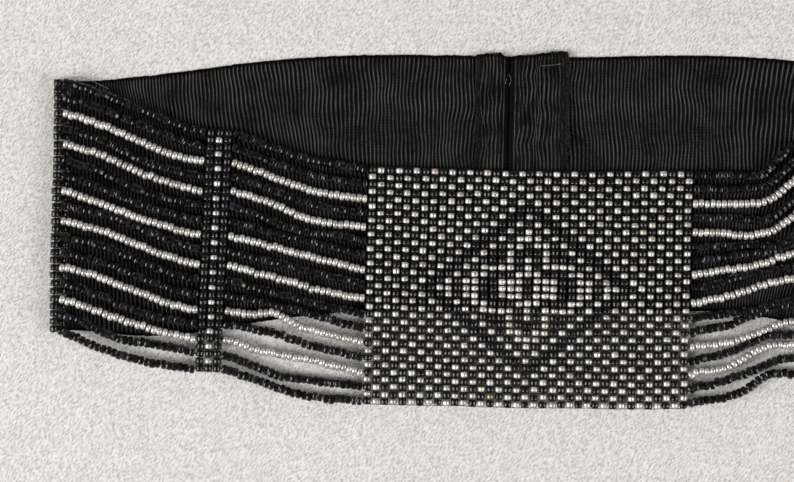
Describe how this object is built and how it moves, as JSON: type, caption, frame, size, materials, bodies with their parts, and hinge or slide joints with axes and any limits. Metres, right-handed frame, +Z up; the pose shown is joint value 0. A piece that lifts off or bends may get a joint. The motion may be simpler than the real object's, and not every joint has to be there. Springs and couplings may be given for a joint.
{
  "type": "beaded headband",
  "caption": "Loom-woven seed-bead headband with a diamond panel, open bead strands, dividers and a wide ribbed ribbon back, closed in a loop and laid flat.",
  "frame": {"origin": "under the middle of the band, on the surface that it lies on", "axes": "+X along the band, +Y across it towards the ribbon's free edge, +Z up out of the beadwork"},
  "size_m": [0.2616, 0.0977, 0.0044],
  "materials": {
    "black_beads": "opaque jet-black glass seed beads, glossy",
    "silver_lined_beads": "clear glass seed beads with a silver-lined hole, glossy",
    "black_thread": "waxed black beading thread",
    "grosgrain_ribbon": "black grosgrain ribbon with crosswise ribs"
  },
  "bodies": {
    "panel": {"panel_black_columns": "black_beads", "panel_silver_beads": "silver_lined_beads", "panel_warp_threads": "black_thread"},
    "left_inner_fringe": {"left_inner_black_strands": "black_beads", "left_inner_silver_strands": "silver_lined_beads"},
    "left_outer_fringe": {"left_divider_black_columns": "black_beads", "left_divider_silver_beads": "silver_lined_beads", "left_divider_warp_threads": "black_thread", "left_outer_black_strands": "black_beads", "left_outer_silver_strands": "silver_lined_beads", "left_end_bar_columns": "black_beads", "left_end_bar_warp_threads": "black_thread"},
    "left_ribbon_half": {"left_binding_column": "black_beads", "left_binding_threads": "black_thread", "left_ribbon": "grosgrain_ribbon", "left_hem_stitches": "black_thread"},
    "right_inner_fringe": {"right_inner_black_strands": "black_beads", "right_inner_silver_strands": "silver_lined_beads"},
    "right_outer_fringe": {"right_divider_black_columns": "black_beads", "right_divider_silver_beads": "silver_lined_beads", "right_divider_warp_threads": "black_thread", "right_outer_black_strands": "black_beads", "right_outer_silver_strands": "silver_lined_beads", "right_end_bar_columns": "black_beads", "right_end_bar_warp_threads": "black_thread"},
    "right_ribbon_half": {"right_binding_column": "black_beads", "right_binding_threads": "black_thread", "right_ribbon": "grosgrain_ribbon", "right_hem_stitches": "black_thread"}
  },
  "joints": [
    {"name": "left_panel_hinge", "type": "hinge", "parent": "panel", "child": "left_inner_fringe", "pos_m": [-0.0432, 0, 0.00246], "axis": [0, -1, 0], "range_deg": [0, 34]},
    {"name": "left_divider_hinge", "type": "hinge", "parent": "left_inner_fringe", "child": "left_outer_fringe", "pos_m": [-0.0835, 0, 0.00246], "axis": [0, -1, 0], "range_deg": [0, 34]},
    {"name": "left_fold_hinge", "type": "hinge", "parent": "left_outer_fringe", "child": "left_ribbon_half", "pos_m": [-0.1297, 0, 0.00105], "axis": [0, 1, 0], "range_deg": [0, 116.4]},
    {"name": "right_panel_hinge", "type": "hinge", "parent": "panel", "child": "right_inner_fringe", "pos_m": [0.0432, 0, 0.00246], "axis": [0, 1, 0], "range_deg": [0, 34]},
    {"name": "right_divider_hinge", "type": "hinge", "parent": "right_inner_fringe", "child": "right_outer_fringe", "pos_m": [0.0835, 0, 0.00246], "axis": [0, 1, 0], "range_deg": [0, 34]},
    {"name": "right_fold_hinge", "type": "hinge", "parent": "right_outer_fringe", "child": "right_ribbon_half", "pos_m": [0.1297, 0, 0.00105], "axis": [0, -1, 0], "range_deg": [0, 110.3]}
  ],
  "couplings": [
    {"joint": "left_divider_hinge", "follows": "left_panel_hinge", "ratio": 1},
    {"joint": "left_fold_hinge", "follows": "left_panel_hinge", "ratio": 3.41},
    {"joint": "right_panel_hinge", "follows": "left_panel_hinge", "ratio": 1},
    {"joint": "right_divider_hinge", "follows": "left_panel_hinge", "ratio": 1},
    {"joint": "right_fold_hinge", "follows": "left_panel_hinge", "ratio": 3.23}
  ]
}
